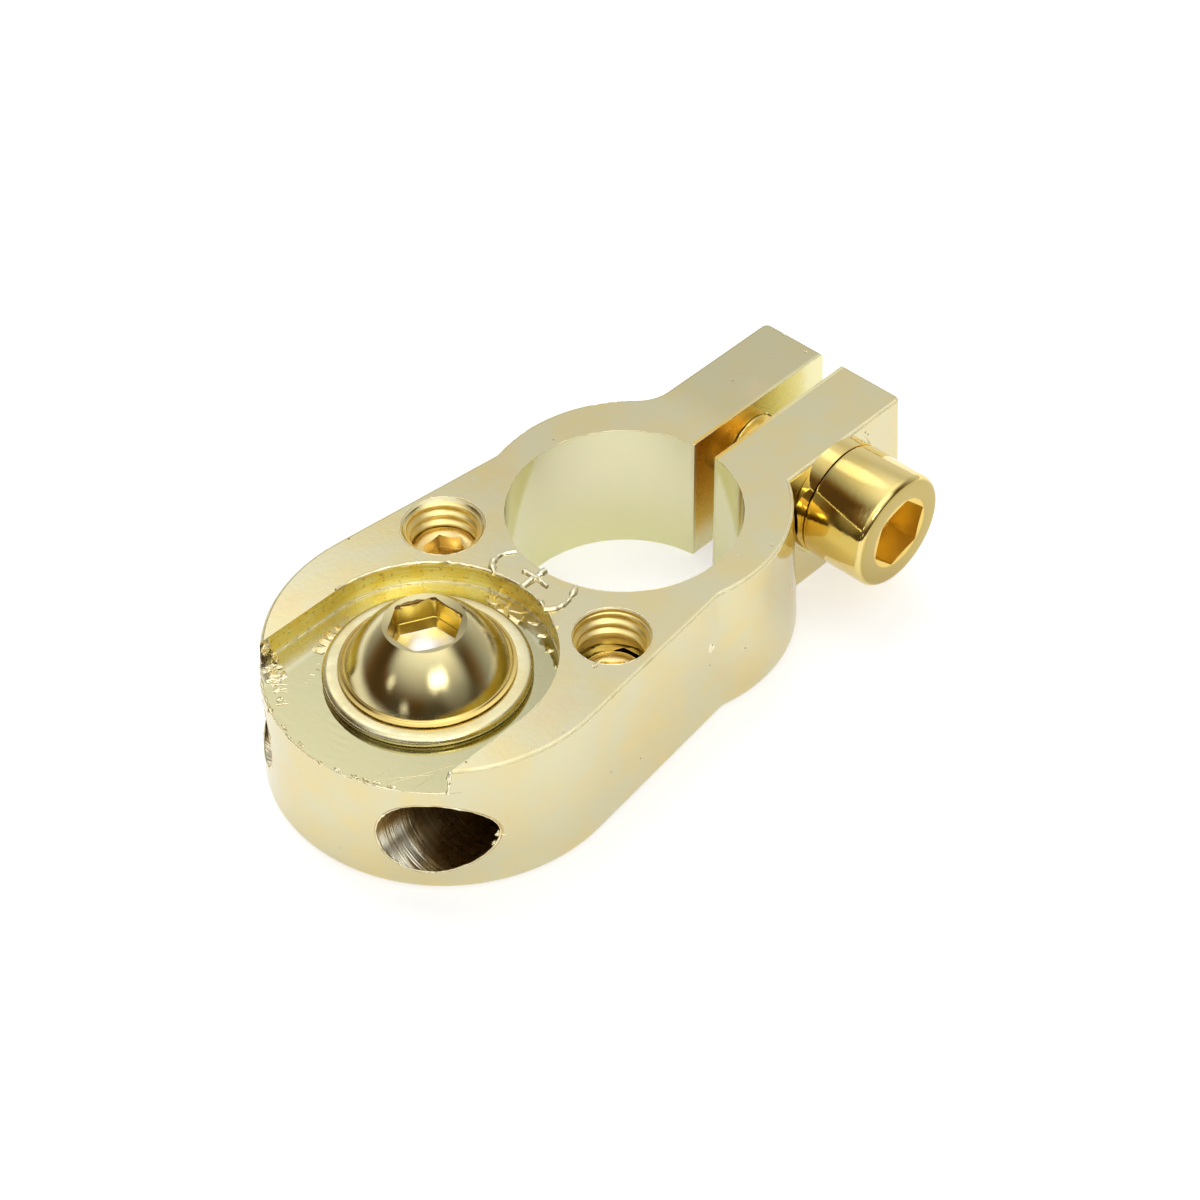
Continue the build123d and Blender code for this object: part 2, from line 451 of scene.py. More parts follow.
def tapped_lining(name, low, high, pitch, crest, root):
    """Thread cut in a hole's wall: ridges inside, a plain skin just inside the metal."""
    fade = 0.35  # the thread runs out over this much at both ends
    skin = 0.05  # the plain skin lies this far outside the crest
    piece = ribbed_tube(name, low, high, pitch, "NOTHING")

    def cut(angle, radius, height):
        wide = thread_radius(angle, height, pitch, crest, root)
        near = min(1.0, (high - height) / fade, (height - low) / fade)
        return crest - (crest - wide) * near, height

    reshape(piece, cut)
    for end in (low, high):
        select_where(
            piece,
            lambda at: abs(at.z / MM - end) < 0.001 and abs(at.xy.length / MM - crest) < 0.001,
        )
        bpy.ops.mesh.extrude_edges_move(TRANSFORM_OT_translate={"value": (0.0, 0.0, 0.0)})
        reshape(piece, lambda a, r, z: (crest + skin, z))
    select_where(piece, lambda at: at.xy.length / MM > crest + 0.6 * skin)
    bpy.ops.mesh.bridge_edge_loops()
    return tidy_up(piece, 60.0)


def put(piece, at, turn=(0.0, 0.0, 0.0)):
    """Sets a piece in its place in millimetres and degrees, and fixes it there."""
    let_go()
    piece.location = Vector(at) * MM
    piece.rotation_euler = [math.radians(a) for a in turn]
    piece.select_set(True)
    bpy.context.view_layer.objects.active = piece
    bpy.ops.object.transform_apply(location=True, rotation=True, scale=True)
    return piece


def join(name, *pieces):
    let_go()
    for piece in pieces:
        piece.select_set(True)
    bpy.context.view_layer.objects.active = pieces[0]
    bpy.ops.object.join()
    pieces[0].name = name
    return pieces[0]


# ---- screws ----
def make_cap_screw():
    """Socket head on a threaded shank, head up, its seat at height 0."""
    radius, height, rounding, mouth = 5.0, 6.0, 0.6, 3.35
    profile = [(4.75, 0.0), (4.95, 0.12), (radius, 0.3)]
    profile += arc((radius - rounding, height - rounding), rounding, 0, 90, 8)
    profile += [(mouth, height)]
    head = turned("cap_head", profile)
    sink_socket(head, height, mouth, 0.12, 5.35, 3.0, 16.0, 0.95)
    tidy_up(head, 35.0)
    shank = tidy_up(threaded_rod("cap_shank", -16.0, 0.4, 1.0, 2.94, 2.42, 0.5, 0.5), 60.0)
    return join("cap_screw", head, shank)


def make_button_screw():
    """Button head on a threaded shank, its seat at height 0."""
    rim = [(6.55, 0.0), (6.72, 0.015), (6.79, 0.07), (6.78, 0.13), (6.68, 0.16), (6.56, 0.185)]
    rim += [(6.48, 0.22), (6.44, 0.27), (6.40, 0.31), (6.35, 0.32), (6.31, 0.30)]
    # the dome is an arc of radius bulge from its foot to the socket's mouth
    foot, mouth, bulge = Vector((6.28, 0.28)), Vector((3.2, 4.25)), 11.35
    chord = mouth - foot
    inward = Vector((-chord.y, chord.x)).normalized()
    centre = (foot + mouth) / 2 + inward * math.sqrt(bulge * bulge - chord.length_squared / 4)
    a, b = (math.degrees(math.atan2(*reversed(point - centre))) for point in (foot, mouth))
    dome = arc(centre, bulge, a, b, 20)
    head = turned("button_head", rim + dome)
    sink_socket(head, mouth.y, mouth.x, 0.333, 5.2, 3.2, 32.0, 0.65)
    tidy_up(head, 35.0)
    shank = tidy_up(threaded_rod("button_shank", -10.0, 0.2, 1.25, 3.93, 3.28, 0.6, 0.6), 60.0)
    return join("button_screw", head, shank)


def make_mouth_burrs():
    """Ragged plating along the far edges of the button head's socket, where it sits, coloured near
    black as painted shadow.
    """
    corners = []
    for degrees in (92, 32, -28):
        angle = math.radians(degrees)
        corners.append(Vector((3.0 * math.cos(angle), 3.0 * math.sin(angle), 4.05)))
    burrs = []
    for i, (left, right, thick) in enumerate(zip(corners, corners[1:], (0.10, 0.05))):
        middle = (left + right) / 2 - Vector((0.0, 0.0, 0.08))
        burrs.append(ridge("mouth_burr" + str(i), [left, middle, right], thick, 1.4, 31 + i))
    for i, (corner, turn) in enumerate(zip(corners, (122, 122, 62))):
        name = "corner_burr" + str(i)
        burrs.append(torn_lump(name, corner * 0.98, 0.19, (1.8, 0.8, 0.7, turn), 41.0 + i))
    return join("mouth_burrs", *burrs)


def make_flat_washer():
    """Flat washer with a rolled outer edge, its underside at height 0."""
    profile = arc((7.55, 0.46), 0.45, -60, 88, 9)
    profile += [(7.3, 0.91), (4.45, 0.91), (4.3, 0.85), (4.2, 0.70), (4.2, 0.12), (4.35, 0.0)]
    profile += [(7.2, 0.0), (7.5, 0.02), profile[0]]
    let_go()
    first = profile[0]
    bpy.ops.mesh.primitive_circle_add(vertices=AROUND, radius=first[0] * MM, fill_type="NOTHING")
    ring = bpy.context.object
    ring.name = "flat_washer"
    bpy.ops.object.mode_set(mode="EDIT")
    bpy.ops.mesh.select_mode(type="EDGE")
    bpy.ops.mesh.select_all(action="SELECT")
    bpy.ops.transform.translate(value=(0.0, 0.0, first[1] * MM))
    for wide, high in profile[1:]:
        bpy.ops.mesh.extrude_edges_move(TRANSFORM_OT_translate={"value": (0.0, 0.0, 0.0)})
        reshape(ring, lambda a, r, z: (wide, high))
    return tidy_up(ring, 40.0)


def make_set_screw(name, drop, turn):
    """Headless screw with a hexagon socket, its upper end drop millimetres under the top face."""
    top, length, mouth = TOP - drop, 5.0, 1.95
    piece = threaded_rod(name, top - length, top, 1.0, 2.93, 2.45, 0.9, 0.45)
    draw_in()
    reshape(piece, lambda a, r, z: (mouth, top))
    sink_socket(piece, top, mouth, 0.4, 3.0, 2.3, turn)
    return tidy_up(piece, 40.0)


def take(piece, node, body, material):
    """The piece stands for a CAD node, in that node's finish."""
    dress(piece, material)
    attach(piece, body)
    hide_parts(node)


# ---- plated edges, marks and burrs ----
def on_top(z):
    return z > TOP - 0.03


def by_floor(z):
    return FLOOR - 0.1 < z < FLOOR + 0.05


def beside(x, y, at, reach):
    return math.hypot(x - at[0], y - at[1]) < reach


def from_block(x, y):
    return math.hypot(x - BLOCK_X, y)


def plated_edges(name, wanted, thick, rough, seed, sink=0.03, way=1):
    """Uneven bead of plating along the casting's sharp edges that wanted(x, y, z) takes.

    The bead's line lies sink millimetres under the skin. A way of -1 picks hollow edges.
    """
    let_go()
    bead = nodes["clamp_body"].copy()
    bead.data = bead.data.copy()
    bead.parent = None
    bead.name = name
    bpy.context.scene.collection.objects.link(bead)
    bead.select_set(True)
    bpy.context.view_layer.objects.active = bead
    bpy.ops.object.mode_set(mode="EDIT")
    bpy.ops.mesh.select_mode(type="EDGE")
    bpy.ops.mesh.select_all(action="SELECT")
    bpy.ops.mesh.remove_doubles(threshold=0.000001)
    bpy.ops.mesh.select_all(action="DESELECT")
    mesh = bmesh.from_edit_mesh(bead.data)
    mesh.normal_update()
    for edge in mesh.edges:
        middle = (edge.verts[0].co + edge.verts[1].co) / 2 / MM
        sharp = len(edge.link_faces) == 2 and way * edge.calc_face_angle_signed(0.0) > SHARP
        edge.select_set(sharp and wanted(*middle))
    for v in mesh.verts:
        if v.select:
            v.co -= v.normal * sink * MM
    bmesh.update_edit_mesh(bead.data)
    bpy.ops.mesh.select_all(action="INVERT")
    bpy.ops.mesh.delete(type="EDGE")
    bpy.ops.mesh.select_all(action="SELECT")
    bpy.ops.mesh.delete_loose(use_verts=True, use_edges=False, use_faces=False)
    for _ in range(8):
        bpy.ops.mesh.select_all(action="DESELECT")
        mesh = bmesh.from_edit_mesh(bead.data)
        long = [edge for edge in mesh.edges if edge.calc_length() > EDGE_STEP * MM]
        if not long:
            break
        for edge in long:
            edge.select_set(True)
        bmesh.update_edit_mesh(bead.data)
        bpy.ops.mesh.subdivide(number_cuts=1)
    bpy.ops.object.mode_set(mode="OBJECT")
    bead.data.materials.clear()
    bpy.ops.object.convert(target="CURVE")
    return thicken(bpy.context.object, thick, rough, seed)


def thicken(line, thick, rough, seed, swell=0.0):
    """Turns a line into a round bead whose thickness wanders, with a few lumps."""
    line.data.bevel_depth = thick * MM
    line.data.bevel_resolution = 1
    line.data.use_fill_caps = True
    shift = Vector((seed * 7.3, seed * 3.1, seed * 1.7))
    for spline in line.data.splines:
        for number, point in enumerate(spline.points):
            place = point.co.xyz / MM
            end = abs(2 * number / max(1, len(spline.points) - 1) - 1)
            slow = noise.noise(place * 0.7 + shift)
            quick = noise.noise(place * 3.1 + shift * 2)
            lump = max(0.0, noise.noise(place * 1.9 - shift) - 0.42) * 6.0
            drift = rough * (1.1 * slow + 0.9 * quick + lump)
            point.radius = max(0.25, 1.0 + swell * end**3 + drift)
            wander = noise.noise_vector(place * 2.3 + shift) * rough * thick * 0.5 * MM
            point.co = (*(point.co.xyz + wander), 1.0)
    bpy.ops.object.convert(target="MESH")
    bead = bpy.context.object
    bpy.ops.object.mode_set(mode="EDIT")
    return tidy_up(bead, 80.0)


def on_face(places, heights):
    """Points at (x, y) places, so far above or below the top face."""
    return [(x, y, TOP + height) for (x, y), height in zip(places, heights)]


def ridge(name, points, thick, rough, seed, swell=0.0):
    """Raised stroke of plated metal through points in millimetres."""
    let_go()
    curve = bpy.data.curves.new(name, "CURVE")
    curve.dimensions = "3D"
    spline = curve.splines.new("NURBS")
    spline.points.add(len(points) - 1)
    for point, at in zip(spline.points, points):
        point.co = (*(Vector(at) * MM), 1.0)
    spline.use_endpoint_u = True
    spline.order_u = 3
    spline.resolution_u = 5
    stroke = bpy.data.objects.new(name, curve)
    bpy.context.scene.collection.objects.link(stroke)
    stroke.select_set(True)
    bpy.context.view_layer.objects.active = stroke
    bpy.ops.object.convert(target="MESH")
    bpy.ops.object.convert(target="CURVE")
    return thicken(bpy.context.object, thick, rough, seed, swell)


def tool_marks(name, start, end, count, length, height, seed):
    """Row of short scratches across the line from start to end, their metal pushed up."""
    start, end = Vector(start), Vector(end)
    across = Vector((start.y - end.y, end.x - start.x)).normalized()

    def chance(step, row):
        return noise.noise(Vector((step, seed, row)))

    strokes = []
    for i in range(count):
        at = start.lerp(end, (i + 0.5 + 0.9 * chance(i * 3.7, 9.0)) / count)
        lean = 2.2 * chance(i * 1.7, 0.0)
        half = length * (0.7 + 1.1 * chance(i * 2.3, 4.0)) / 2
        way = (across + (end - start).normalized() * lean * 0.5) * half
        a, b = at - way, at + way
        points = [(*a, height - 0.04), (*((a + b) / 2), height + 0.01), (*b, height - 0.04)]
        strokes.append(ridge(name + str(i), points, 0.075, 0.6, seed + i))
    return join(name, *strokes)


def torn_lump(name, at, size, stretch, seed, fine=4):
    """Ragged scrap of torn and plated metal, stretched along its three axes and then turned."""
    let_go()
    bpy.ops.mesh.primitive_ico_sphere_add(subdivisions=fine, radius=size * MM)
    lump = bpy.context.object
    lump.name = name
    bpy.ops.object.mode_set(mode="EDIT")
    mesh = bmesh.from_edit_mesh(lump.data)
    for v in mesh.verts:
        way = v.co.normalized()
        coarse = noise.noise(way * 1.6 + Vector((seed, 0.0, 0.0)))
        crag = abs(noise.noise(way * 2.6 + Vector((0.0, seed, 0.0))))
        v.co = way * size * MM * (1.0 + 0.55 * coarse - 0.6 * crag)
        v.co = Vector((v.co.x * stretch[0], v.co.y * stretch[1], v.co.z * stretch[2]))
    bmesh.update_edit_mesh(lump.data)
    tidy_up(lump, 30.0 if fine > 3 else 8.0)
    return put(lump, at, (0.0, 0.0, stretch[3]))


def cutter_facets(name, spots, seed):
    """Flat chips left in the pocket's floor: (x, y, size, turn) each."""
    chips = []
    for i, (x, y, size, turn) in enumerate(spots):
        shape = (1.3, 0.85, 0.10 / size, turn)
        chips.append(torn_lump(name + str(i), (x, y, FLOOR), size, shape, seed + i, 2))
    return join(name, *chips)


# ---- finishes ----
def gold_plate(name, pale, warm, rough, grain=0.4, peel_depth=0.25):
    """Bright plated metal: uneven in colour and gloss, its skin slightly orange-peeled."""
    plate = Finish(name, Metallic=1.0)
    drift, patch, peel = plate.cloud(4.0, 3.0), plate.cloud(1.1, 3.0), plate.cloud(grain, 2.0)
    plate.colour = plate.mix(drift.ramp(0.35, 0.7), pale, warm)
    plate.gloss = patch.ramp(0.3, 0.75, rough * 0.75, rough * 1.35)
    plate.skin = plate.bump(peel, peel_depth, 0.00002)
    return plate


def finished(plate):
    return plate.shade(Base_Color=plate.colour, Roughness=plate.gloss, Normal=plate.skin)


def span(a, b):
    return (a * a + b * b).root()


def body_finish():
    """The casting: a mirror outside, streaked in the pocket, amber in the slot, dull in bores."""
    plate = gold_plate("casting_plate", (0.72, 0.665, 0.43), (0.76, 0.65, 0.355), 0.08, 0.5, 0.12)
    x, y, z = plate.x, plate.y, plate.z
    side = y.abs()
    block = span(x - BLOCK_X, y)
    stud = span(x - STUD[0], y - STUD[1])
    set_screw = span(x - SET_X, side - CABLE_Y)

    # pocket floor: polished flat, with the faint arcs of the cutter, painted paler at the wall's
    # foot as a reflection of the wall
    within = block.fall(13.3, 13.4) + block.fall(14.2, 14.3) * x.fall(-28.9, -28.7)
    floor = z.ramp(9.86, 9.89) * z.fall(9.91, 9.95) * within.clip()
    wall_reflection_zone = (stud.ramp(8.4, 9.3) * x.ramp(-24.0, -22.0) + y.ramp(7.4, 8.6)).clip()
    # the pale band by the wall's foot is a painted reflection of the wall in the floor
    foot = floor * y.ramp(-5.0, -3.5) * wall_reflection_zone
    plate.paint(floor, plate.mix(foot, (0.50, 0.47, 0.275), (0.80, 0.77, 0.56)))
    arcs = plate.node("Math", {"operation": "SINE"}, {0: span(x + 14.0, y - 4.0) * 9.0})
    arcs_fade = plate.cloud(3.0, 1.0).ramp(0.52, 0.66)

    # pocket wall: deeper gold, combed round by the cutter, scuffed across at its open end
    inside = block.fall(13.25, 13.35) * set_screw.ramp(3.15, 3.25) * x.fall(-10.5, -10.2)
    wall = inside * z.ramp(9.93, 9.97) * z.fall(11.97, 11.995)
    comb = plate.cloud(0.16, 2.0, (40.0, 40.0, 0.6))
    scuff = plate.cloud(0.22, 2.0, (0.7, 0.7, 30.0))
    streak = comb.ramp(0.38, 0.62) * 0.7 + plate.cloud(2.2, 3.0).ramp(0.45, 0.62) * 0.5
    flecks = plate.cloud(0.35, 2.0, shift=(5.0, 2.0, 8.0)).ramp(0.60, 0.68)
    gold = plate.mix(streak.clip(), (1.0, 0.90, 0.33), (0.98, 0.75, 0.12))
    # the wall's lowest band is painted near white: a painted highlight along its foot
    gold = plate.mix(z.ramp(9.95, 10.25, 0.8, 0.0), gold, (1.0, 0.97, 0.78))
    plate.paint(wall, plate.mix(flecks * 0.6, gold, (0.42, 0.28, 0.07)))

    # slot: amber deep inside as painted shade, tinted by light bounced between the gold walls, and
    # paler towards the ear tips and the foot as painted light
    slot = side.fall(1.35, 1.45) * x.ramp(8.9, 9.1)
    plate.paint(slot, (0.86, 0.80, 0.46))
    plate.paint(slot * (x.fall(12.5, 20.0) * z.ramp(0.5, 4.0)), (0.84, 0.57, 0.13))

    # post bore: greener lower down; towards the cable end darker and greener, a painted shade
    bore = span(x, y).fall(BORE_R + 0.25, BORE_R + 0.35) * z.fall(11.9, 11.98)
    plate.paint(bore, plate.mix(z.ramp(1.0, 7.0), (0.80, 0.775, 0.46), (0.80, 0.76, 0.52)))
    plate.paint(bore * x.fall(-9.3, -7.5) * 0.7, (0.70, 0.65, 0.30))

    # tapped holes of the set screws
    tapped = set_screw.fall(3.1, 3.16) * z.ramp(8.3, 8.5) * z.fall(11.85, 11.95)
    plate.paint(tapped, (1.0, 0.83, 0.36))

    # cable bores: dull and brown, with the drill's rings, scraped bright at the mouth
    drilled = span(side - CABLE_Y, z - CABLE_Z).fall(CABLE_R + 0.06, CABLE_R + 0.16)
    drilled = drilled * x.fall(-10.9, -10.8)
    scraped = drilled * x.fall(-31.2, -29.0) * z.fall(4.2, 5.2)
    rings = plate.cloud(0.14, 2.0, (1.0, 30.0, 30.0))
    dull = plate.mix(rings.ramp(0.35, 0.65), (0.66, 0.49, 0.24), (0.54, 0.37, 0.15))
    bright = plate.mix(rings.ramp(0.42, 0.58), (1.0, 0.95, 0.74), (0.60, 0.47, 0.25))
    plate.paint(drilled, dull)
    plate.paint(scraped, bright)

    # outer edges: paler than the faces they join, a painted edge highlight, and duller
    rim = z.ramp(11.78, 11.84) * z.fall(11.975, 11.995)
    edge = rim * (1 - (wall + slot + bore + tapped).clip())
    plate.paint(edge, (0.95, 0.88, 0.58))

    # small dark specks, smudges and one or two stains on the outside
    outside = 1 - (floor + wall + slot + bore + tapped + drilled).clip()
    dots = plate.node("TexVoronoi", {}, {"Vector": plate.place, "Scale": 0.45})
    speck = dots.fall(0.035, 0.055) * plate.cloud(2.6, 0.0).ramp(0.52, 0.56) * outside
    stain = plate.cloud(5.0, 4.0, shift=(3.0, 1.0, 7.0)).ramp(0.60, 0.74) * outside
    smudge = plate.cloud(3.2, 4.0, shift=(9.0, 4.0, 2.0)).ramp(0.53, 0.70) * outside
    warm = span(x + 4.6, y - 10.1).ramp(0.5, 3.6, 0.55, 0.0)
    warm = warm * plate.cloud(1.8).ramp(0.3, 0.6) * outside
    far_ear = x.ramp(11.0, 15.0) * y.ramp(1.0, 1.5) * z.ramp(11.8, 11.9)
    plate.paint(smudge * 0.45, (0.78, 0.655, 0.31))
    plate.paint(warm, (0.78, 0.61, 0.25))
    plate.paint(far_ear * 0.5, (0.58, 0.53, 0.33))
    plate.paint(stain * 0.5, (0.76, 0.62, 0.38))
    plate.paint(speck, (0.30, 0.24, 0.14))

    duller = (
        (wall, 0.30),
        (drilled, 0.20),
        (speck, 0.3),
        (tapped, 0.30),
        (slot, 0.18),
        (bore, 0.06),
        (edge, 0.55),
        (foot, 0.22),
        (floor, -0.02),
    )
    for where, more in duller:
        plate.gloss = plate.gloss + where * more
    grooves = comb * wall + scuff * wall * x.ramp(-28.5, -26.0, 0.9, 0.0)
    grooves = grooves + rings * (drilled * 0.4 + scraped * 1.6)
    plate.skin = plate.bump(arcs * floor * arcs_fade, 0.06, 0.00001, plate.skin)
    plate.skin = plate.bump(grooves, 0.6, 0.00006, plate.skin)
    return finished(plate)


def stud_finish():
    """Bronze dome with a fine sparkle, a gold rim painted as a reflection, and a bright gold
    socket whose pale floor is a painted reflection and whose mouth carries painted shade.
    """
    plate = gold_plate("stud_bronze", (0.66, 0.585, 0.315), (0.63, 0.53, 0.26), 0.05, 0.07, 0.28)
    z = plate.z
    r = span(plate.x - STUD[0], plate.y - STUD[1])
    rim = r.ramp(6.29, 6.33) * z.fall(11.25, 11.29)
    socket = r.fall(3.1, 3.16) * z.fall(14.80, 14.90)
    # dark patches high on the socket's walls: painted shadow under the mouth's edges
    painted_mouth_shade = z.ramp(14.2, 14.8) * plate.cloud(0.5, 3.0).ramp(0.46, 0.62)
    # the socket's near-white floor is a painted reflection of the bright sky
    inside = plate.mix(z.ramp(11.98, 12.04), (0.96, 0.94, 0.90), (0.78, 0.60, 0.13))
    # the gold rim is a painted reflection
    plate.paint(rim, (0.80, 0.60, 0.20))
    plate.paint(socket, plate.mix(socket * painted_mouth_shade * 0.85, inside, (0.34, 0.20, 0.04)))
    plate.gloss = plate.gloss + socket * 0.18 + rim * 0.10
    return finished(plate)


def cap_finish():
    """Yellow gold, painted darker on the head's end as shade, amber in its socket, and brighter on
    the shank as a painted highlight.
    """
    plate = gold_plate("screw_gold", (0.88, 0.705, 0.28), (0.84, 0.64, 0.20), 0.085)
    y = plate.y
    r = span(plate.x - CLAMP[0], plate.z - CLAMP[2])
    end = y.fall(-14.66, -14.5)
    socket = r.fall(3.05, 3.2) * y.fall(-10.6, -10.4)
    shank = y.ramp(-3.0, -2.0)
    # the head's end is painted darker: painted shade on that face
    plate.paint(end, (0.52, 0.40, 0.125))
    plate.paint(socket, (0.88, 0.65, 0.17))
    # the shank's bright yellow is a painted highlight, seen as a glow in the slot
    plate.paint(shank, (1.0, 0.76, 0.24))
    plate.gloss = plate.gloss + end * 0.08 + socket * 0.22 + shank * 0.35
    return finished(plate)


def dress(obj, material):
    obj.data.materials.clear()
    obj.data.materials.append(material)


def on_casting(piece, material=None):
    dress(piece, material or casting_plate)
    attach(piece, "clamp_body")


place_camera()
let_go()
lay_floor()
light_world()
hang_lamp("softbox", 60.0, 58.0, 0.9, 0.6, 2.6)

casting_plate = body_finish()
dress(nodes["clamp_body"], casting_plate)
# beads, marks, chips and specks are painted paler than the casting: a painted highlight on them
bead_plate = finished(gold_plate("bead_plate", (0.97, 0.90, 0.64), (0.95, 0.82, 0.46), 0.30))
screw_gold = cap_finish()
set_gold = finished(gold_plate("set_screw_gold", (0.95, 0.78, 0.38), (0.90, 0.68, 0.28), 0.26))
stud_bronze = stud_finish()
washer_gold = finished(gold_plate("washer_gold", (0.82, 0.755, 0.48), (0.80, 0.70, 0.38), 0.27))
dress(nodes["clamp_washer"], screw_gold)
flat_washer = put(make_flat_washer(), (STUD[0], STUD[1], FLOOR))
take(flat_washer, "stud_washer", "stud_washer", washer_gold)

cap_screw = make_cap_screw()
put(cap_screw, (CLAMP[0], CLAMP[1] - CLAMP_WASHER, CLAMP[2]), (90.0, 0.0, 0.0))
take(cap_screw, "clamp_screw", "clamp_screw", screw_gold)
button_screw = put(make_button_screw(), (STUD[0], STUD[1], SEAT))
take(button_screw, "stud_screw", "stud_screw", stud_bronze)
mouth_burrs = put(make_mouth_burrs(), (STUD[0], STUD[1], SEAT))
# the burrs' near-black finish is painted shadow
burr_shadow_gold = gold_plate("burr_shadow_gold", (0.16, 0.10, 0.03), (0.40, 0.24, 0.07), 0.35, 0.2)
dress(mouth_burrs, finished(burr_shadow_gold))
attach(mouth_burrs, "stud_screw")
for side, y, drop, turn in (("left", CABLE_Y, 2.4, 0.0), ("right", -CABLE_Y, 4.1, 12.0)):
    screw = put(make_set_screw("grub_" + side, drop, turn), (SET_X, y, 0.0))
    take(screw, "set_screw_" + side, "set_screw_" + side, set_gold)
    lining = tapped_lining("set_thread_" + side, 8.7, 11.6, 1.0, 2.975, 2.60)
    put(lining, (SET_X, y, 0.0))
    on_casting(lining)

# beads of plating along the casting's edges: which edges, then thickness, roughness and seed,
# and for the foot of the pocket's wall also that it lies on the skin, along a hollow edge
BEADS = (
    (
        "bore_bead",
        lambda x, y, z: on_top(z)
        and (beside(x, y, (0, 0), BORE_R + 0.2) or (x > 8 and abs(y) < 1.3)),
        (0.035, 0.7, 2),
    ),
    (
        "hole_bead",
        lambda x, y, z: on_top(z) and beside(x, abs(y), (SET_X, CABLE_Y), 3.6),
        (0.05, 0.8, 3),
    ),
    (
        "pocket_bead",
        lambda x, y, z: on_top(z) and y > -5.5 and beside(x, y, STUD, 10.6),
        (0.13, 0.9, 4),
    ),
    (
        "flank_bead",
        lambda x, y, z: on_top(z) and y < -5.5 and beside(x, y, STUD, 12.0),
        (0.035, 1.0, 14),
    ),
    (
        "ledge_bead",
        lambda x, y, z: by_floor(z) and from_block(x, y) > 13.5,
        (0.06, 1.5, 5),
    ),
    (
        "foot_bead",
        lambda x, y, z: by_floor(z)
        and y > -9.9
        and from_block(x, y) < 13.5
        and not beside(x, y, STUD, 6.0),
        (0.06, 1.0, 15, 0.0, -1),
    ),
    (
        "mouth_bead",
        lambda x, y, z: x < -24
        and 1.5 < z < 9
        and abs(math.hypot(abs(y) - CABLE_Y, z - CABLE_Z) - CABLE_R) < 0.15,
        (0.05, 0.9, 6),
    ),
)
for name, wanted, measures in BEADS:
    on_casting(plated_edges(name, wanted, *measures), bead_plate)

# the polarity mark and its broken ring: each stroke rises from the face and sinks into it again
CROSS = (-0.05, 0.02, -0.05, 0.02, -0.05)
ARC = (-0.05, 0.02, 0.02, 0.02, -0.05)
across = ((-11.9, -0.42), (-11.2, -0.42), (-10.5, -0.36), (-9.9, -0.42), (-9.4, -0.4))
along = ((-10.55, -1.75), (-10.5, -1.2), (-10.45, -0.4), (-10.5, 0.3), (-10.55, 0.75))
far_arc = ((-12.3, 2.2), (-12.0, 2.9), (-11.1, 3.4), (-10.2, 3.3), (-9.4, 2.75))
near_arc = ((-12.6, -3.4), (-12.1, -3.95), (-11.1, -4.2), (-10.1, -3.95), (-9.2, -3.5))
strokes = [
    ridge("plus_long", on_face(across, CROSS), 0.27, 0.45, 7),
    ridge("plus_across", on_face(along, CROSS), 0.27, 0.45, 8),
    ridge("ring_far", on_face(far_arc, ARC), 0.22, 0.55, 9),
    ridge("ring_near", on_face(near_arc, ARC), 0.22, 0.55, 10, 0.3),
]
on_casting(join("polarity_mark", *strokes), bead_plate)

# scratches and chips that the cutter left on the pocket's floor
CHATTER = (
    ("chatter_faint", (-29.5, 5.4), (-26.8, 6.7), 6, 0.8, FLOOR - 0.04, 12),
    ("chatter_end", (-31.8, 5.2), (-29.6, 8.2), 7, 1.3, FLOOR + 0.01, 13),
)
for measures in CHATTER:
    on_casting(tool_marks(*measures), bead_plate)
FACETS = (
    (
        "facets_inner",
        (
            (-12.9, 1.9, 0.7, 80),
            (-12.5, 1.0, 0.85, 95),
            (-13.3, 0.5, 0.75, 60),
            (-12.4, -0.2, 0.85, 100),
            (-13.0, -0.9, 0.7, 85),
            (-12.5, -2.2, 0.5, 110),
            (-13.1, -3.7, 0.36, 120),
            (-13.9, -5.3, 0.28, 130),
        ),
        20.0,
    ),
    (
        "facets_far",
        (
            (-25.7, 7.6, 0.62, -60),
            (-24.9, 7.9, 0.56, -80),
            (-24.1, 8.15, 0.46, -70),
            (-23.2, 8.25, 0.34, -90),
        ),
        50.0,
    ),
    (
        "facets_end",
        (
            (-30.0, 8.3, 0.42, 40),
            (-30.4, 7.6, 0.45, 20),
            (-29.5, 7.6, 0.36, 50),
            (-30.9, 6.8, 0.36, 10),
            (-31.4, 5.9, 0.26, 0),
        ),
        60.0,
    ),
)
for name, spots, seed in FACETS:
    on_casting(cutter_facets(name, spots, seed), bead_plate)
SCARS = (
    ((-32.9, -4.9), (-29.9, -5.5)),
    ((-32.2, -5.3), (-29.1, -7.9)),
    ((-31.9, -6.3), (-27.2, -8.5)),
    ((-31.0, -8.0), (-25.4, -8.2)),
)
lines = []
for i, (a, b) in enumerate(SCARS):
    middle = ((a[0] + b[0]) / 2, (a[1] + b[1]) / 2, FLOOR + 0.004)
    points = [(*a, FLOOR), middle, (*b, FLOOR - 0.01)]
    lines.append(ridge("cutter_line" + str(i), points, 0.018, 0.5, 70 + i))
on_casting(join("cutter_lines", *lines), bead_plate)

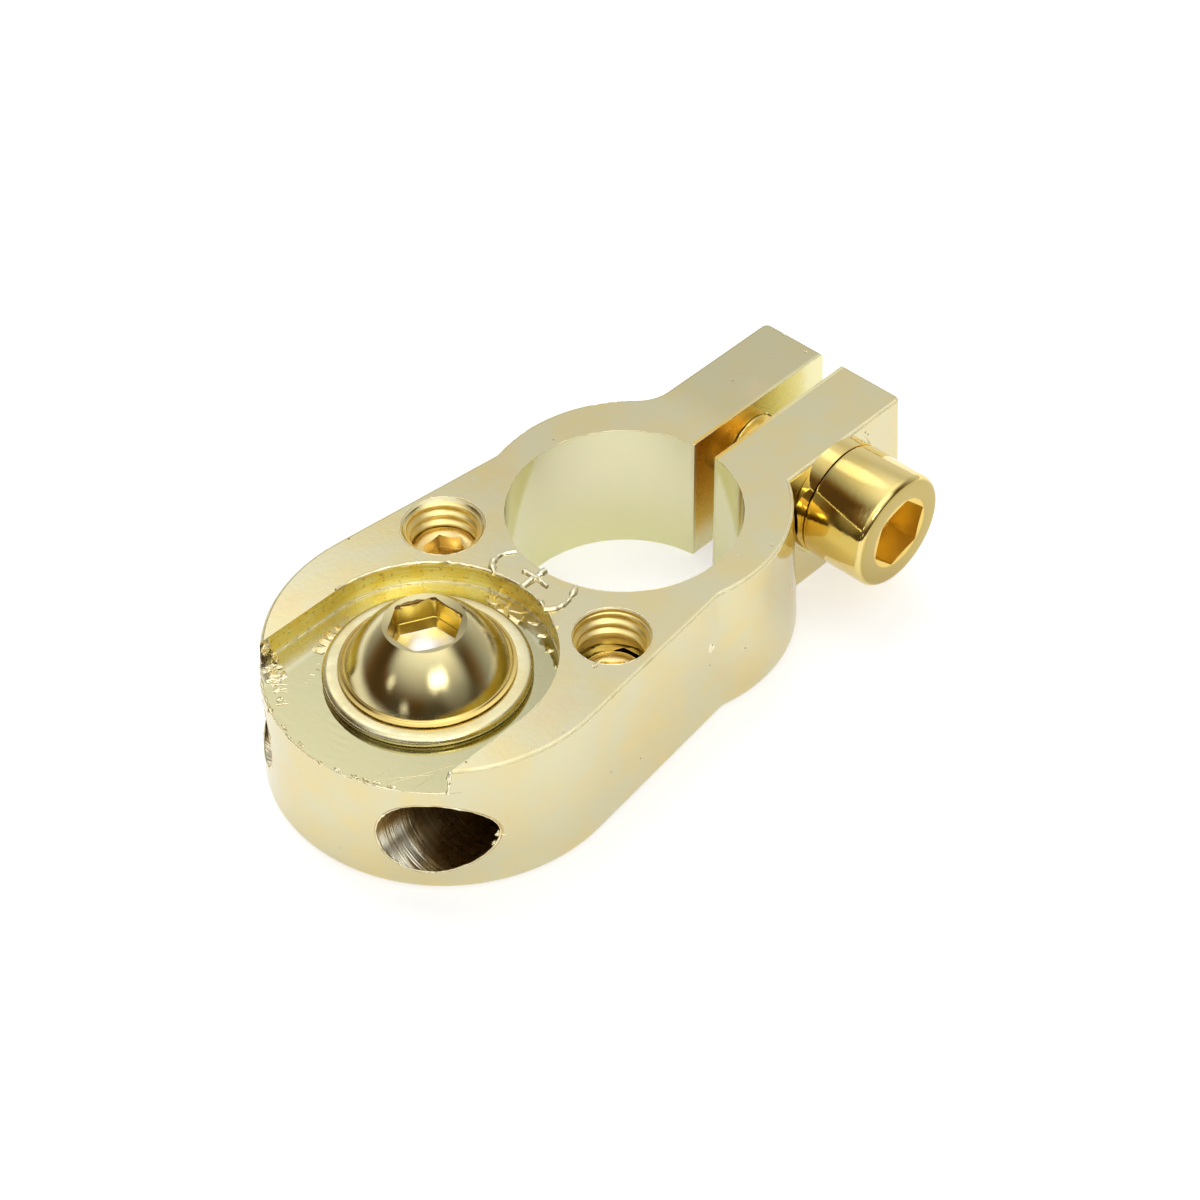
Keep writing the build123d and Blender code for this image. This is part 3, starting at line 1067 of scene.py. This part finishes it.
# torn metal where the cutter broke out through the wall
burr = join(
    "torn_corner",
    torn_lump("scrap_a", (-29.5, 9.45, 11.4), 0.5, (1.2, 0.5, 0.8, 20.0), 1.0),
    torn_lump("scrap_b", (-29.7, 8.7, 10.05), 0.5, (1.4, 0.7, 0.6, -30.0), 2.0),
    torn_lump("scrap_c", (-28.8, 9.4, 10.2), 0.42, (1.6, 0.6, 0.9, 60.0), 3.0),
    torn_lump("scrap_d", (-30.5, 7.7, 9.92), 0.36, (1.6, 0.8, 0.5, -50.0), 4.0),
)
on_casting(burr, bead_plate)
# a near-black lump in the torn notch: painted shade in the hollow
notch = torn_lump("notch_shade_lump", (-29.78, 9.42, 10.75), 0.5, (0.7, 0.5, 1.3, 25.0), 9.0)
notch_shade_gold = gold_plate("notch_shade_gold", (0.10, 0.07, 0.03), (0.30, 0.20, 0.08), 0.5)
on_casting(notch, finished(notch_shade_gold))

# chips in the outer edges, a dimple in the wall and specks of metal
step = (
    (-29.2, -10.2, 11.95),
    (-29.4, -10.22, 11.4),
    (-29.38, -10.16, 10.9),
    (-29.45, -10.24, 10.4),
    (-29.5, -10.1, 9.9),
)
chips = join(
    "chipped_edges",
    ridge("torn_step", step, 0.15, 1.4, 16),
    torn_lump("chip_tip", (-26.55, -12.45, 5.0), 0.34, (1.3, 0.5, 0.9, -30.0), 5.0),
    torn_lump("chip_tip_low", (-27.0, -12.25, 4.1), 0.26, (1.3, 0.5, 0.9, -30.0), 6.0),
    torn_lump("chip_hole", (-14.2, -10.35, 11.98), 0.24, (1.3, 0.8, 0.6, 10.0), 7.0),
    torn_lump("chip_dimple", (-3.7, -12.42, 7.3), 0.42, (1.1, 0.12, 1.5, 0.0), 8.0),
)
on_casting(chips, bead_plate)
ledge_specks = ((-33.13, 3.55), (-33.44, 1.34), (-33.42, -2.53), (-32.95, -4.06))
ledge_specks += ((-32.66, -4.81), (-32.37, -5.56), (-31.85, -6.7))
rim_specks = ((4.7, -11.25), (2.0, -10.1), (-13.3, -13.15), (-20.9, -13.42))
rim_specks += ((-23.5, -12.8), (25.1, 5.2), (24.6, 2.35))
specks = []
for height, size, places in ((FLOOR - 0.02, 0.19, ledge_specks), (TOP - 0.03, 0.11, rim_specks)):
    for x, y in places:
        i = len(specks)
        shape = (1.9, 0.8, 0.8, math.degrees(math.atan2(y, x - BLOCK_X)) + 90)
        specks.append(torn_lump("speck" + str(i), (x, y, height), size, shape, 80.0 + i, 3))
on_casting(join("edge_specks", *specks), bead_plate)
